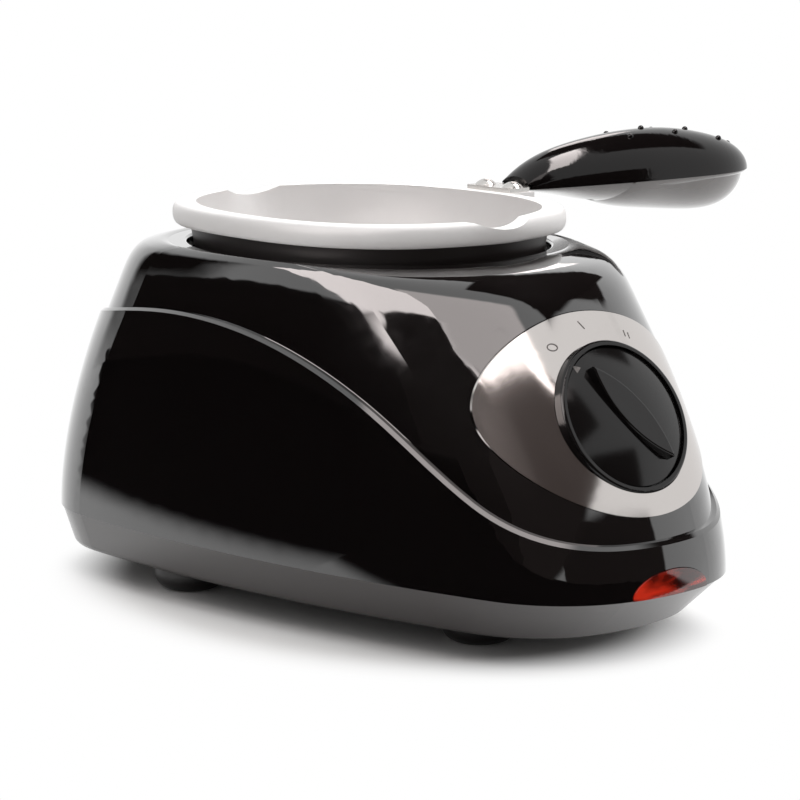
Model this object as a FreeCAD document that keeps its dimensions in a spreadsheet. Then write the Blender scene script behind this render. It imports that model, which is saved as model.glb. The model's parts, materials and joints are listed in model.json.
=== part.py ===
import FreeCAD
import Part
import Sketcher

import math
import os
import re

# Electric wax warmer: a teardrop housing on a tray with four feet, a heated well,
# a lift-out pot with a side handle, and a rotary control on the nose.
# Lengths are in millimetres. X runs along the handle, Y from the nose to the rear, Z up.
# Pieces are drawn about the pot's axis, then all are moved so that the middle of the
# whole footprint lies at the origin.

Vector = FreeCAD.Vector
Placement = FreeCAD.Placement
Rotation = FreeCAD.Rotation

sizes = {
    # Plan of the body at the parting line, as arcs that run into each other
    "front_across": 6.5,
    "front_centre": 82.7,
    "front_radius": 33,
    "nose_radius": 60,
    "corner_across": 25.8,
    "corner_back": 54.8,
    "corner_radius": 31.5,
    "side_radius": 428,
    "rear_radius": 148,
    # Plan of the body at the lip of the opening
    "lip_front_across": 7,
    "lip_nose_radius": 150,
    "lip_corner_across": 8,
    "lip_side_radius": 150,
    "lip_rear_radius": 80,
    "lip_edge": 1,
    "opening_side_gap": 3.8,
    "opening_end_gap": 2.3,
    # Heights and walls of the body
    "foot_height": 6.5,
    "tray_height": 11.3,
    "body_height": 78.3,
    "wall_share": 0.72,
    "wall_power": 1.7,
    "shoulder_height": 6.3,
    "wall": 2.4,
    "skirt_step": 1.8,
    "ridge_low": 14.3,
    "ridge_high": 62.2,
    "ridge_rear": 51,
    "ridge_bevel": 0.8,
    "lip_round": 0.7,
    "joint_gap": 0.3,
    # Base tray, feet and the screws that close the base
    "tray_inset": 4,
    "tray_nose_inset": 9,
    "tray_floor": 3,
    "tray_round": 2,
    "tray_reveal": 0.4,
    "tray_lip_height": 2.7,
    "tray_lip_wall": 1.6,
    "vent_length": 34,
    "vent_width": 3,
    "vent_pitch": 8,
    "foot_radius": 10,
    "foot_round": 4.5,
    "front_foot_across": 21,
    "front_foot_ahead": 69,
    "rear_foot_across": 43,
    "rear_foot_back": 26,
    "boss_radius": 3.6,
    "boss_length": 32,
    "boss_rib": 2,
    "front_boss_across": 37,
    "front_boss_ahead": 38,
    "rear_boss_across": 41,
    "rear_boss_back": 52,
    "screw_radius": 1.4,
    "screw_head_radius": 2.9,
    "screw_head_height": 1.7,
    "screw_slack": 0.2,
    "base_screw_length": 14,
    # Well, gasket and the screws that hold the well to the housing
    "well_side_gap": 2.4,
    "well_end_gap": 1,
    "well_taper": 5.8,
    "throat_depth": 7.6,
    "well_depth": 33,
    "well_wall": 1.2,
    "flange_side_lap": 0.9,
    "flange_end_lap": 8.5,
    "gasket_thickness": 1.5,
    "throat_wall": 2,
    "well_boss_across": 20,
    "well_boss_gap": 1.7,
    "well_screw_length": 6.3,
    # Heater under the well
    "heater_thickness": 2.5,
    "heater_margin": 4.5,
    "clamp_thickness": 1.5,
    "clamp_margin": 2,
    "stud_radius": 2,
    "stud_ring": 23,
    "nut_flats": 7,
    "nut_height": 2.8,
    "spacer_length": 8,
    "spacer_radius": 3.6,
    "shield_thickness": 0.8,
    "cutout_radius": 8,
    "cutout_height": 6,
    "fuse_radius": 2,
    "fuse_length": 18,
    "fuse_back": 14,
    # Dial plate, collar and knob, on an axis that leans back from the front
    "dial_reach": 99.8,
    "dial_rise": 42.8,
    "dial_lean": 28,
    "plate_half_width": 36.5,
    "plate_half_height": 24.2,
    "plate_rise": 0.8,
    "plate_depth": 0.7,
    "plate_proud": 0.4,
    "collar_radius": 20.7,
    "collar_wall": 1.5,
    "collar_proud": 1,
    "pocket_depth": 7,
    "knob_gap": 0.5,
    "knob_skirt_gap": 1.5,
    "knob_shoulder": 0.4,
    "knob_dome": 3,
    "knob_wall": 2,
    "grip_half_length": 15.8,
    "grip_half_width": 4.3,
    "grip_height": 4.4,
    "grip_round": 0.5,
    "hub_radius": 5.5,
    "off_angle": 33,
    # Rotary switch behind the nose
    "shaft_radius": 3,
    "shaft_fit": 0.05,
    "shaft_flat": 2.2,
    "bush_radius": 3.9,
    "bush_length": 5.6,
    "switch_nut_flats": 11,
    "switch_nut_height": 2,
    "switch_side": 26,
    "switch_depth": 14.5,
    "switch_front_wall": 2,
    "switch_cover_thickness": 1.6,
    "rotor_radius": 9,
    "rotor_length": 8,
    "blade_width": 6.3,
    "blade_thickness": 0.8,
    "blade_length": 8.5,
    "blade_across": 7,
    # Indicator at the foot of the nose
    "lens_half_width": 13.3,
    "lens_height": 6.5,
    "lens_proud": 0.3,
    "lens_depth": 1.2,
    "lamp_radius": 3,
    "lamp_length": 12,
    "lamp_rise": 12,
    "lamp_setback": 1,
    "holder_half_width": 6,
    "holder_length": 6,
    # Mains entry and terminal block
    "gland_rise": 9.7,
    "gland_radius": 6,
    "gland_bore": 3.3,
    "gland_length": 15,
    "gland_proud": 2.5,
    "gland_flange_radius": 8,
    "gland_flange_thickness": 2,
    "block_half_length": 15,
    "block_width": 16,
    "block_height": 12,
    "block_back": 34,
    "block_screw_radius": 2,
    # Lift-out pot
    "pot_half_width": 43.6,
    "pot_half_length": 51.5,
    "pot_taper": 5.6,
    "pot_wall": 1.6,
    "pot_corner": 9,
    "pot_height": 51,
    "pot_squareness": 2.3,
    "rim_squareness": 2.55,
    "rim_height": 6,
    "rim_overhang": 3,
    "rim_round": 1.3,
    "spout_reach": 3,
    "spout_half_width": 10,
    "spout_dip": 2,
    "spout_curve": 24,
    # Handle, its bracket and fasteners
    "tab_end": 54,
    "tab_half_width": 10,
    "tab_thickness": 2.4,
    "bracket_thickness": 1.2,
    "bracket_start": 45.5,
    "tang_half_width": 5,
    "tang_end": 96,
    "rivet_at": 49.6,
    "rivet_across": 5.6,
    "rivet_radius": 1.6,
    "rivet_head_radius": 3.1,
    "rivet_head_height": 1.6,
    "handle_start": 56,
    "handle_length": 95,
    "handle_width": 26.5,
    "handle_rise": 14.2,
    "handle_fall": 6,
    "belly_fall": 11.4,
    "belly_step": 0.8,
    "handle_wall": 2,
    "nub_radius": 0.9,
    "nub_pitch": 9.5,
    "nub_across": 5,
    "handle_screw_front": 84,
    "handle_screw_rear": 128,
    "handle_screw_length": 12,
}

doc = FreeCAD.newDocument("wax_warmer_pot")
sheet = doc.addObject("Spreadsheet::Sheet", "Sizes")
for row, (alias, number) in enumerate(sizes.items(), start=1):
    sheet.set("A%d" % row, alias)
    sheet.set("B%d" % row, str(number))
    sheet.setAlias("B%d" % row, alias)
doc.recompute()

pieces = []


def bound(text):
    """Write the sheet's name before each of its aliases."""
    return re.sub("[a-z_]+", lambda word: "Sizes." + word[0] if word[0] in sizes else word[0], text)


def value(text):
    """Work out an expression of the sheet's sizes."""
    return float(sheet.evalExpression(bound(text)))


def keep(part, name):
    """List a finished piece under its own name."""
    part.Label = name
    pieces.append(part)
    return part


def formed(name, shape):
    """A piece whose shape is built from the sheet's sizes in code."""
    part = doc.addObject("Part::Feature", name)
    part.Shape = shape
    return keep(part, name)


def grouped(name, master, spots):
    """Separate copies of one master, one at each place."""
    doc.recompute()
    copies = []
    for spot in spots:
        copy = master.Shape.copy()
        copy.Placement = spot.multiply(copy.Placement)
        copies.append(copy)
    return formed(name, Part.makeCompound(copies))


# Sketched bodies

def tie(sketch, kind, edge, text):
    """Hold the start of an edge at a distance from the sketch's origin."""
    if text == "0":
        axis = -2 if kind == "DistanceX" else -1
        sketch.addConstraint(Sketcher.Constraint("PointOnObject", edge, 1, axis))
        return
    held = sketch.addConstraint(Sketcher.Constraint(kind, -1, 1, edge, 1, value(text)))
    sketch.setExpression("Constraints[%d]" % held, bound(text))


def bulge(start, end, radius):
    """An arc that bulges to the right of the way from start to end."""
    chord = end - start
    half = chord.Length / 2
    radius = max(radius, half)
    inward = Vector(-chord.y, chord.x, 0).normalize()
    centre = (start + end) / 2 + inward * math.sqrt(radius * radius - half * half)
    first = math.atan2(start.y - centre.y, start.x - centre.x)
    last = math.atan2(end.y - centre.y, end.x - centre.x)
    return Part.ArcOfCircle(Part.Circle(centre, Vector(0, 0, 1), radius), first, last)


def drawn(body, role, corners):
    """A closed sketch, drawn anticlockwise. A corner's third item rounds the edge after it."""
    sketch = body.newObject("Sketcher::SketchObject", body.Name + "_sketch")
    plane = next(item for item in body.Origin.OriginFeatures if item.Role == role)
    sketch.AttachmentSupport = [(plane, "")]
    sketch.MapMode = "FlatFace"
    spots = [Vector(value(corner[0]), value(corner[1]), 0) for corner in corners]
    for place, corner in enumerate(corners):
        end = spots[(place + 1) % len(spots)]
        if len(corner) == 3:
            sketch.addGeometry(bulge(spots[place], end, value(corner[2])))
        else:
            sketch.addGeometry(Part.LineSegment(spots[place], end))
    for place in range(len(spots)):
        following = (place + 1) % len(spots)
        sketch.addConstraint(Sketcher.Constraint("Coincident", place, 2, following, 1))
    for place, corner in enumerate(corners):
        tie(sketch, "DistanceX", place, corner[0])
        tie(sketch, "DistanceY", place, corner[1])
        if len(corner) == 3:
            held = sketch.addConstraint(Sketcher.Constraint("Radius", place, value(corner[2])))
            sketch.setExpression("Constraints[%d]" % held, bound(corner[2]))
    return sketch


def turned(name, corners):
    """A body turned about its own Z axis from corners given as radius and height."""
    body = doc.addObject("PartDesign::Body", name)
    sketch = drawn(body, "XZ_Plane", corners)
    turn = body.newObject("PartDesign::Revolution", name + "_turn")
    turn.Profile = sketch
    turn.ReferenceAxis = (sketch, ["V_Axis"])
    turn.Angle = 360
    return body


def padded(name, corners, length):
    """A flat body raised along its own Z axis."""
    body = doc.addObject("PartDesign::Body", name)
    pad = body.newObject("PartDesign::Pad", name + "_pad")
    pad.Profile = drawn(body, "XY_Plane", corners)
    pad.setExpression("Length", bound(length))
    return body


def rectangle(half_width, half_length):
    """Corners of a rectangle about the origin."""
    return [
        ("-(%s)" % half_width, "-(%s)" % half_length),
        (half_width, "-(%s)" % half_length),
        (half_width, half_length),
        ("-(%s)" % half_width, half_length),
    ]


def bored(body, spots, radius, name="bores"):
    """Round holes along a body's Z axis, right through it."""
    sketch = body.newObject("Sketcher::SketchObject", "%s_%s" % (body.Name, name))
    plane = next(item for item in body.Origin.OriginFeatures if item.Role == "XY_Plane")
    sketch.AttachmentSupport = [(plane, "")]
    sketch.MapMode = "FlatFace"
    for place, (across, along) in enumerate(spots):
        centre = Vector(value(across), value(along), 0)
        sketch.addGeometry(Part.Circle(centre, Vector(0, 0, 1), value(radius)))
        for kind, text, axis in (("DistanceX", across, -2), ("DistanceY", along, -1)):
            if text == "0":
                sketch.addConstraint(Sketcher.Constraint("PointOnObject", place, 3, axis))
            else:
                rule = Sketcher.Constraint(kind, -1, 1, place, 3, value(text))
                held = sketch.addConstraint(rule)
                sketch.setExpression("Constraints[%d]" % held, bound(text))
        held = sketch.addConstraint(Sketcher.Constraint("Radius", place, value(radius)))
        sketch.setExpression("Constraints[%d]" % held, bound(radius))
    doc.recompute()
    before = body.Shape.Volume
    pocket = body.newObject("PartDesign::Pocket", "%s_%s_cut" % (body.Name, name))
    pocket.Profile = sketch
    pocket.Type = "ThroughAll"
    pocket.Reversed = True
    doc.recompute()
    if body.Shape.Volume >= before:
        raise RuntimeError("The holes of %s cut nothing" % body.Name)
    return body


# Plain shapes in code

def upright(radius, low, high, across=0.0, along=0.0):
    """A standing cylinder between two heights."""
    return Part.makeCylinder(radius, high - low, Vector(across, along, low))


def block(low, high):
    """A box between two opposite corners."""
    span = Vector(*high) - Vector(*low)
    return Part.makeBox(span.x, span.y, span.z, Vector(*low))


def oval(half_width, half_length, height):
    """A level oval wire about the Z axis."""
    circle = Part.makeCircle(1)
    matrix = FreeCAD.Matrix()
    matrix.scale(half_width, half_length, 1)
    matrix.move(Vector(0, 0, height))
    return Part.Wire(circle.transformGeometry(matrix))


def oval_plate(half_width, half_length, low, high):
    """A level oval plate between two heights."""
    return Part.Face(oval(half_width, half_length, low)).extrude(Vector(0, 0, high - low))


def hexagon(flats, height, bore):
    """A nut that stands on the origin."""
    corners = []
    for turn in range(7):
        angle = math.radians(60 * turn)
        corners.append(Vector(math.cos(angle), math.sin(angle), 0) * (flats / math.sqrt(3)))
    blank = Part.Face(Part.makePolygon(corners)).extrude(Vector(0, 0, height))
    return blank.cut(upright(bore, -1, height + 1))


def both_sides(across, along):
    """The two places that mirror each other across the middle plane."""
    return [(across, along), (-across, along)]


# Plan and loft of the body

parting = value("foot_height + tray_height")
tray_top = value("foot_height + tray_floor")
lip_height = parting + value("body_height")
well_top = lip_height - value("throat_depth")
well_floor = well_top - value("well_depth")
rim_top = well_floor + value("pot_height")


opening_width = value("pot_half_width + opening_side_gap")
opening_length = value("pot_half_length + opening_end_gap")
well_width = value("pot_half_width + well_side_gap")
well_length = value("pot_half_length + well_end_gap")


def lip_plan():
    """Sizes of the plan at the lip, which lies just outside the opening."""
    half_width = opening_width + value("lip_edge")
    half_length = opening_length + value("lip_edge")
    front_radius = half_width - value("lip_front_across")
    corner_radius = half_width - value("lip_corner_across")
    nose_turn = value("lip_nose_radius") - front_radius
    rear_turn = value("lip_rear_radius") - corner_radius
    nose_drop = math.sqrt(nose_turn ** 2 - value("lip_front_across") ** 2)
    rear_drop = math.sqrt(rear_turn ** 2 - value("lip_corner_across") ** 2)
    return {
        "front_across": value("lip_front_across"),
        "front_centre": half_length + nose_drop - value("lip_nose_radius"),
        "front_radius": front_radius,
        "nose_radius": value("lip_nose_radius"),
        "corner_across": value("lip_corner_across"),
        "corner_back": half_length + rear_drop - value("lip_rear_radius"),
        "corner_radius": corner_radius,
        "side_radius": value("lip_side_radius"),
        "rear_radius": value("lip_rear_radius"),
    }


lip_sizes = lip_plan()


def between(name, rise):
    """A size of the plan, part of the way from the parting line to the lip."""
    low = value(name)
    return low + (lip_sizes[name] - low) * rise


def bearing(origin, target):
    """The turn from straight ahead, towards the handle, of one point seen from another."""
    return math.atan2(target.x - origin.x, origin.y - target.y)


def plan(rise, grow, pull=0.0):
    """Centre, radius and bearings of the eight arcs of the body's plan."""
    ahead = Vector(between("front_across", rise), pull - between("front_centre", rise), 0)
    behind = Vector(between("corner_across", rise), between("corner_back", rise), 0)
    front_radius = between("front_radius", rise)
    corner_radius = between("corner_radius", rise)
    side_radius = between("side_radius", rise)
    nose_radius = between("nose_radius", rise)
    rear_radius = between("rear_radius", rise)
    nose_drop = math.sqrt((nose_radius - front_radius) ** 2 - ahead.x ** 2)
    rear_drop = math.sqrt((rear_radius - corner_radius) ** 2 - behind.x ** 2)
    nose = Vector(0, ahead.y + nose_drop, 0)
    rear = Vector(0, behind.y - rear_drop, 0)
    to_ahead = side_radius - front_radius
    to_behind = side_radius - corner_radius
    way = behind - ahead
    span = way.Length
    along = (to_ahead ** 2 - to_behind ** 2 + span ** 2) / (2 * span)
    aside = math.sqrt(to_ahead ** 2 - along ** 2)
    way.normalize()
    side = ahead + way * along + Vector(-way.y, way.x, 0) * aside
    turns = [bearing(nose, ahead), bearing(side, ahead), bearing(side, behind), bearing(rear, behind)]
    near = [
        (ahead, front_radius + grow, turns[0], turns[1]),
        (side, side_radius + grow, turns[1], turns[2]),
        (behind, corner_radius + grow, turns[2], turns[3]),
    ]
    full = 2 * math.pi
    far = []
    for centre, radius, first, last in reversed(near):
        far.append((Vector(-centre.x, centre.y, 0), radius, full - last, full - first))
    nose_arc = (nose, nose_radius + grow, -turns[0], turns[0])
    rear_arc = (rear, rear_radius + grow, turns[3], full - turns[3])
    return [nose_arc] + near + [rear_arc] + far


def plan_wire(rise, height, grow, pull=0.0):
    """The body's plan as a level wire, grown outwards by a distance."""
    edges = []
    for centre, radius, first, last in plan(rise, grow, pull):
        spots = []
        for angle in (first, (first + last) / 2, last):
            spots.append(centre + Vector(radius * math.sin(angle), -radius * math.cos(angle), height))
        edges.append(Part.Arc(*spots).toShape())
    return Part.Wire(edges)


def wall_rise(share):
    """How far the wall has gone from parting line to lip, at a share of the body's height."""
    wall = value("wall_share") * share ** value("wall_power")
    turn = 1 - (1 - share) * value("body_height / shoulder_height")
    if turn <= 0:
        return wall
    return wall + (1 - wall) * (1 - (1 - turn ** 3) ** (1 / 3))


def body_loft(grow, drop=0.0, start=0.0):
    """The body's outer form, grown by a distance and lowered towards the lip."""
    shoulder = 1 - value("shoulder_height / body_height")
    shares = [shoulder * step for step in (0, 0.15, 0.3, 0.45, 0.6, 0.75, 0.9)]
    shares += [1 - (1 - shoulder) * (1 - step) for step in (0.3, 0.65, 0.85, 0.95, 1)]
    wires = []
    for share in shares:
        height = parting - start + (lip_height - parting + start) * share
        wires.append(plan_wire(wall_rise(share), height - drop * share ** 4, grow))
    return Part.makeLoft(wires, True, False, False, 3)


def plan_prism(rise, grow, low, high):
    """An upright prism of the body's plan."""
    return Part.Face(plan_wire(rise, low, grow)).extrude(Vector(0, 0, high - low))


outer = body_loft(0)
skirt_outer = body_loft(value("skirt_step"))
nose_arc = plan(0, 0)[0]
rear_arc = plan(0, 0)[4]
nose_end = nose_arc[0].y - nose_arc[1]
rear_end = rear_arc[0].y + rear_arc[1]


def below_ridge():
    """All that lies under the ridge, which falls in an S from the rear to the nose."""
    low = parting + value("ridge_low")
    high = parting + value("ridge_high")
    tail = parting + value("ridge_rear")
    spots = [
        Vector(0, nose_end - 20, low),
        Vector(0, nose_end * 0.95, low),
        Vector(0, nose_end * 0.77, low + (high - low) * 0.17),
        Vector(0, nose_end * 0.49, low + (high - low) * 0.6),
        Vector(0, nose_end * 0.17, low + (high - low) * 0.92),
        Vector(0, rear_end * 0.2, high),
        Vector(0, rear_end * 0.65, tail + (high - tail) * 0.6),
        Vector(0, rear_end + 20, tail),
    ]
    ridge = Part.BSplineCurve()
    ridge.interpolate(spots)
    floor = [Vector(0, rear_end + 20, 0), Vector(0, nose_end - 20, 0)]
    edges = [
        ridge.toShape(),
        Part.makeLine(spots[-1], floor[0]),
        Part.makeLine(floor[0], floor[1]),
        Part.makeLine(floor[1], spots[0]),
    ]
    span = 2 * value("corner_across + corner_radius + skirt_step") + 40
    face = Part.Face(Part.Wire(edges))
    face.translate(Vector(-span / 2, 0, 0))
    return face.extrude(Vector(span, 0, 0))


def edges_on(shape, wanted):
    """Edges of a shape whose middle passes a test."""
    found = []
    for edge in shape.Edges:
        middle = edge.valueAt((edge.FirstParameter + edge.LastParameter) / 2)
        if wanted(middle):
            found.append(edge)
    return found


def skirt_form():
    """The skirt below the ridge, bevelled along the ridge's edge."""
    skirt = skirt_outer.common(below_ridge())
    ledge = [face for face in skirt.Faces if face.Surface.TypeId == "Part::GeomSurfaceOfExtrusion"]
    return skirt.makeChamfer(value("ridge_bevel"), ledge[0].Edges)


# Places on the nose and in the base

front = Placement(
    Vector(0, -value("dial_reach"), parting + value("dial_rise")),
    Rotation(Vector(1, 0, 0), 90 - value("dial_lean")),
)


def at_front(depth):
    """A place on the knob's axis, measured outwards from the nose."""
    return front.multiply(Placement(Vector(0, 0, depth), Rotation()))


def on_front(shape):
    """A shape drawn about the knob's axis, moved to the nose."""
    shape.Placement = front.multiply(shape.Placement)
    return shape


base_bosses = both_sides(value("front_boss_across"), -value("front_boss_ahead"))
base_bosses += both_sides(value("rear_boss_across"), value("rear_boss_back"))
well_boss_back = opening_length + value("well_boss_gap")
well_bosses = both_sides(value("well_boss_across"), -well_boss_back)
well_bosses += both_sides(value("well_boss_across"), well_boss_back)
flange_width = opening_width + value("flange_side_lap")
flange_length = well_boss_back + value("flange_end_lap")
throat_bottom = well_top + value("gasket_thickness")
pocket_radius = value("collar_radius") + 0.1
pocket_floor = -value("pocket_depth")
pilot_radius = value("screw_radius") + 0.05
hole_radius = value("screw_radius + screw_slack")


def plate_prism(grow):
    """The dial plate's oval outline, run level through the nose."""
    half_width = value("plate_half_width") + grow
    half_height = value("plate_half_height") + grow
    prism = oval_plate(half_width, half_height, -40, 20)
    centre = front.Base + Vector(0, 0, value("plate_rise"))
    prism.Placement = Placement(centre, Rotation(Vector(1, 0, 0), 90))
    return prism


def lens_prism(grow):
    """The indicator's arch, run through the foot of the nose."""
    half_width = value("lens_half_width") + grow
    arch = oval_plate(half_width, value("lens_height") + grow, 0, 40)
    arch = arch.common(block((-50, 0, -1), (50, 50, 41)))
    turn = Rotation(Vector(1, 0, 0), 90)
    arch.Placement = Placement(Vector(0, nose_end + 20, parting), turn)
    return arch


gland_start = rear_end + value("skirt_step + gland_proud - gland_length")
gland_height = parting + value("gland_rise")


def gland_rod(radius):
    """A rod on the cord inlet's axis."""
    centre = Vector(0, gland_start, gland_height)
    return Part.makeCylinder(radius, value("gland_length"), centre, Vector(0, 1, 0))


# Housing and base

def boss_shapes():
    """Posts that take the base screws, each with a rib out to the wall."""
    top = tray_top + value("boss_length")
    half_rib = value("boss_rib") / 2
    rib_start = parting + value("tray_lip_height") + 1
    shapes = []
    for across, along in base_bosses:
        post = upright(value("boss_radius"), tray_top, top, across, along)
        side = math.copysign(1, across)
        edges = sorted((across, across + side * 40))
        rib = block((edges[0], along - half_rib, rib_start), (edges[1], along + half_rib, top))
        shapes += [post, rib.common(outer)]
    return shapes


def throat_shapes():
    """The ring round the opening and the posts that take the well's screws."""
    wall = value("throat_wall")
    ring = oval_plate(opening_width + wall, opening_length + wall, throat_bottom, lip_height)
    shapes = [ring.common(outer)]
    for across, along in well_bosses:
        shapes.append(upright(value("boss_radius"), throat_bottom, lip_height, across, along).common(outer))
    return shapes


def on_opening(spot):
    """Whether a point lies on the opening's oval."""
    return abs((spot.x / opening_width) ** 2 + (spot.y / opening_length) ** 2 - 1) < 0.001


def housing():
    wall = value("wall")
    shell = outer.fuse(skirt_form())
    shell = shell.cut(body_loft(-wall, wall, 1))
    cup_floor = pocket_floor - wall
    cup = on_front(upright(pocket_radius + wall, cup_floor, 6))
    shell = shell.fuse([cup.common(outer)] + throat_shapes() + boss_shapes())
    cuts = [oval_plate(opening_width, opening_length, throat_bottom - 1, lip_height + 1)]
    cuts.append(plate_prism(0.1).cut(body_loft(-value("plate_depth"))))
    cuts.append(on_front(upright(pocket_radius, pocket_floor, 20)))
    cuts.append(on_front(upright(value("bush_radius") + 0.2, cup_floor - 5, 1)))
    cuts.append(lens_prism(0.15))
    cuts.append(gland_rod(value("gland_radius") + 0.05))
    screw_top = tray_top + value("base_screw_length")
    for across, along in base_bosses:
        cuts.append(upright(pilot_radius, tray_top - 1, screw_top, across, along))
    for across, along in well_bosses:
        pilot_top = throat_bottom + value("well_screw_length") - value("gasket_thickness")
        cuts.append(upright(pilot_radius, throat_bottom - 1, pilot_top, across, along))
    shell = shell.cut(cuts)
    rim = edges_on(shell, lambda spot: abs(spot.z - lip_height) < 0.01 and on_opening(spot))
    return formed("housing", shell.makeFillet(value("lip_round"), rim))


def base_tray():
    wall = value("wall")
    low = value("foot_height")
    edge = value("skirt_step - tray_reveal")
    foot = value("skirt_step - tray_inset")
    pull = value("tray_nose_inset")
    body = Part.makeLoft([plan_wire(0, low, foot, pull), plan_wire(0, parting, edge)], True, True)
    body = body.makeFillet(value("tray_round"), edges_on(body, lambda spot: abs(spot.z - low) < 0.01))
    hollow_wires = [plan_wire(0, tray_top, foot - wall, pull), plan_wire(0, parting + 1, -wall)]
    hollow = Part.makeLoft(hollow_wires, True, True)
    lip_outside = -wall - value("joint_gap")
    lip_inside = lip_outside - value("tray_lip_wall")
    lip_top = parting + value("tray_lip_height")
    lip = plan_prism(0, lip_outside, parting - 2, lip_top)
    lip = lip.cut(plan_prism(0, lip_inside, parting - 3, lip_top + 1))
    tray = body.cut(hollow).fuse(lip)
    head_room = value("screw_head_height") + 0.1
    cuts = []
    for across, along in base_bosses:
        cuts.append(upright(hole_radius, low - 1, tray_top + 1, across, along))
        cuts.append(upright(value("screw_head_radius") + 0.3, low - 1, low + head_room, across, along))
    half_length = value("vent_length / 2")
    half_width = value("vent_width / 2")
    for place in range(-2, 3):
        middle = place * value("vent_pitch") - 20
        corner = (-half_length, middle - half_width, low - 1)
        cuts.append(block(corner, (half_length, middle + half_width, tray_top + 1)))
    return formed("base_tray", tray.cut(cuts))


def rubber_feet():
    flat = "foot_radius - foot_round"
    master = turned("rubber_foot", [
        ("0", "0"),
        (flat, "0", "foot_round"),
        ("foot_radius", "foot_round"),
        ("foot_radius", "foot_height"),
        ("0", "foot_height"),
    ])
    spots = both_sides(value("front_foot_across"), -value("front_foot_ahead"))
    spots += both_sides(value("rear_foot_across"), value("rear_foot_back"))
    places = [Placement(Vector(across, along, 0), Rotation()) for across, along in spots]
    return grouped("rubber_feet", master, places)


def screw_master(name, length):
    """A round-headed screw that stands on its head."""
    return turned(name, [
        ("0", "0"),
        ("screw_head_radius - 0.4", "0", "0.4"),
        ("screw_head_radius", "0.4"),
        ("screw_head_radius", "screw_head_height"),
        ("screw_radius", "screw_head_height"),
        ("screw_radius", "screw_head_height + %s - 0.6" % length),
        ("screw_radius - 0.6", "screw_head_height + %s" % length),
        ("0", "screw_head_height + %s" % length),
    ])


def base_screws():
    master = screw_master("base_screw", "base_screw_length")
    height = value("foot_height") + 0.1
    places = [Placement(Vector(across, along, height), Rotation()) for across, along in base_bosses]
    return grouped("base_screws", master, places)


# Well and heater

def well_inside(grow, low, high):
    """The tapered oval of the well between its floor and its top, grown by a distance."""
    half_width = well_width + grow
    half_length = well_length + grow
    taper = value("well_taper")
    small = pot_wire(half_width - taper, half_length - taper, 0, low)
    return Part.makeLoft([small, pot_wire(half_width, half_length, 0, high)], True, True)


def drilled(shape, spots, radius):
    """A level plate with upright holes."""
    box = shape.BoundBox
    return shape.cut([upright(radius, box.ZMin - 1, box.ZMax + 1, x, y) for x, y in spots])


stud_spots = []
for stud_turn in (-90, 30, 150):
    stud_angle = math.radians(stud_turn)
    stud_reach = value("stud_ring")
    stud_spots.append((stud_reach * math.cos(stud_angle), stud_reach * math.sin(stud_angle)))

well_under = well_floor - value("well_wall")
heater_under = well_under - value("heater_thickness")
clamp_under = heater_under - value("clamp_thickness")
nut_under = clamp_under - value("nut_height")
shield_top = nut_under - value("spacer_length")
shield_under = shield_top - value("shield_thickness")
stud_end = shield_under - value("nut_height") - 1


def heating_well():
    top = well_top
    wall = value("well_wall")
    cup = well_inside(wall, well_under, top)
    flange = oval_plate(flange_width, flange_length, top - wall, top)
    flange = drilled(flange, well_bosses, hole_radius)
    well = cup.fuse(flange).cut(well_inside(0, well_floor, top + 0.001))
    return formed("heating_well", well)


def well_gasket():
    low = well_top
    high = throat_bottom
    ring = oval_plate(flange_width, flange_length, low, high)
    mouth = pot_wire(well_width, well_length, 0, low - 1)
    hole = Part.Face(mouth).extrude(Vector(0, 0, high - low + 2))
    return formed("well_gasket", drilled(ring.cut(hole), well_bosses, hole_radius))


def well_screws():
    master = screw_master("well_screw", "well_screw_length")
    height = well_top - value("well_wall + screw_head_height")
    places = [Placement(Vector(across, along, height), Rotation()) for across, along in well_bosses]
    return grouped("well_screws", master, places)


def floor_oval(margin, low, high):
    """A plate that follows the well's floor, inside it by a margin."""
    half_width = well_width - value("well_taper") - margin
    half_length = well_length - value("well_taper") - margin
    return oval_plate(half_width, half_length, low, high)


def heater_stack():
    stud_hole = value("stud_radius") + 0.2
    margin = value("heater_margin")
    heater = floor_oval(margin, heater_under, well_under)
    formed("mica_heater", drilled(heater, stud_spots, stud_hole))
    clamp = floor_oval(margin + value("clamp_margin"), clamp_under, heater_under)
    formed("heater_clamp", drilled(clamp, stud_spots, stud_hole))
    shield = floor_oval(0, shield_under, shield_top)
    formed("heat_shield", drilled(shield, stud_spots, stud_hole))


def heater_fasteners():
    stud_radius = value("stud_radius")
    studs = [upright(stud_radius, stud_end, well_under, x, y) for x, y in stud_spots]
    formed("heater_studs", Part.makeCompound(studs))
    nut = hexagon(value("nut_flats"), value("nut_height"), stud_radius + 0.05)
    nuts = []
    for x, y in stud_spots:
        for height in (nut_under, shield_under - value("nut_height")):
            nuts.append(nut.translated(Vector(x, y, height)))
    formed("heater_nuts", Part.makeCompound(nuts))
    spacer = turned("spacer", [
        ("stud_radius + 0.1", "0"),
        ("spacer_radius", "0"),
        ("spacer_radius", "spacer_length"),
        ("stud_radius + 0.1", "spacer_length"),
    ])
    places = [Placement(Vector(x, y, shield_top), Rotation()) for x, y in stud_spots]
    grouped("shield_spacers", spacer, places)


def thermal_cutout():
    body = turned("thermal_cutout", [
        ("0", "0"),
        ("cutout_radius - 1.5", "0"),
        ("cutout_radius - 1.5", "cutout_height - 2"),
        ("cutout_radius", "cutout_height - 2"),
        ("cutout_radius", "cutout_height"),
        ("0", "cutout_height"),
    ])
    body.Placement = Placement(Vector(0, 0, clamp_under - value("cutout_height")), Rotation())
    return keep(body, "thermal_cutout")


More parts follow.
